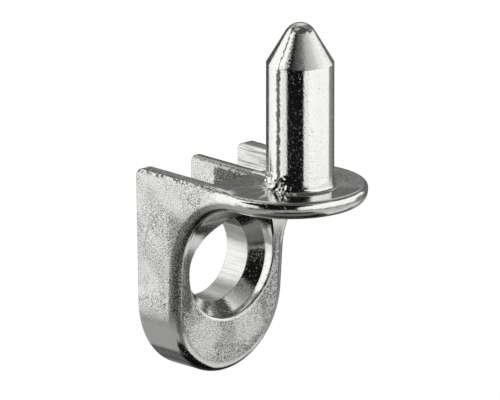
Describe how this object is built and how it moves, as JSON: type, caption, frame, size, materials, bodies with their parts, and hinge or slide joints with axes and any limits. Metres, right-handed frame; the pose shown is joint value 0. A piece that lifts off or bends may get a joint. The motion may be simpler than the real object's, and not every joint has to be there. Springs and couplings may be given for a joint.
{
  "type": "shelf support",
  "caption": "Nickel-plated shelf support: a plug-in pin on a round flange, over a ribbed body with a countersunk screw hole.",
  "frame": {"origin": "on the pin's axis, in the plane of the rib tops that bear on the cabinet side", "axes": "+Z along the pin towards its tip, +Y towards the face that bears on the shelf, +X across the body"},
  "size_m": [0.0114, 0.0161, 0.0282],
  "materials": {
    "nickel_plating": "bright nickel plating over a zinc die casting, with a fine cast grain on the walls"
  },
  "bodies": {
    "root": {"shelf_support": "nickel_plating"}
  },
  "joints": []
}
